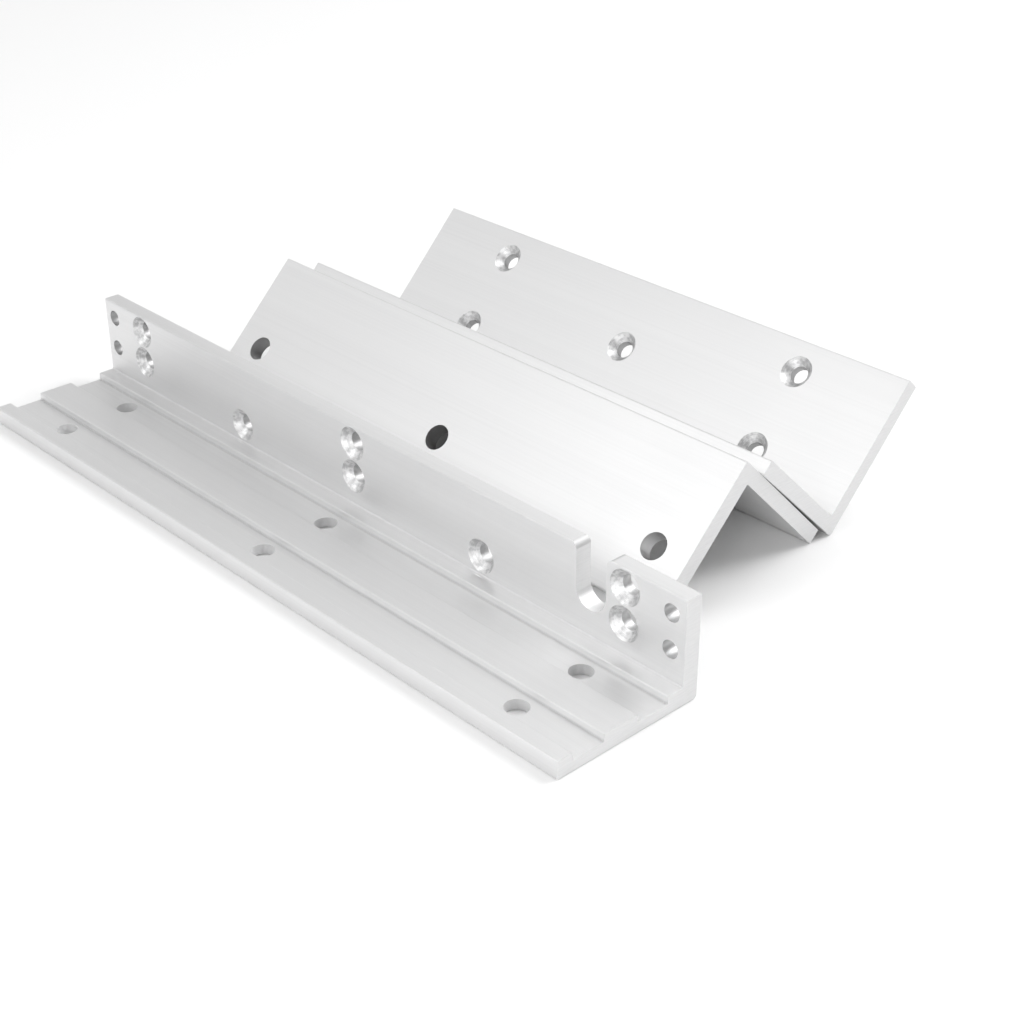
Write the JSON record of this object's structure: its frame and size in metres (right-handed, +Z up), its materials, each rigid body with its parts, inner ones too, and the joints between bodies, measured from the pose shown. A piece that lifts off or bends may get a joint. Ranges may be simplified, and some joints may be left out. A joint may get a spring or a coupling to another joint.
{
  "type": "magnetic lock l and z bracket set",
  "caption": "L angle for a door magnet and a Z bracket of two screwed angles for its armature plate, with countersunk and plain holes and a cable notch.",
  "frame": {"origin": "on the ground, at the middle of the set's length and depth", "axes": "+X along the angles to the end with the cable notch, +Y from the magnet angle to the Z bracket, +Z up"},
  "size_m": [0.25, 0.1682, 0.0378],
  "materials": {
    "anodised_aluminium": "satin",
    "zinc_plated_steel": "bright"
  },
  "bodies": {
    "root": {"magnet_angle": "anodised_aluminium", "armature_angle": "anodised_aluminium", "door_angle": "anodised_aluminium", "joint_screw_left": "zinc_plated_steel", "joint_screw_right": "zinc_plated_steel", "joint_washer_left": "zinc_plated_steel", "joint_washer_right": "zinc_plated_steel"}
  },
  "joints": []
}
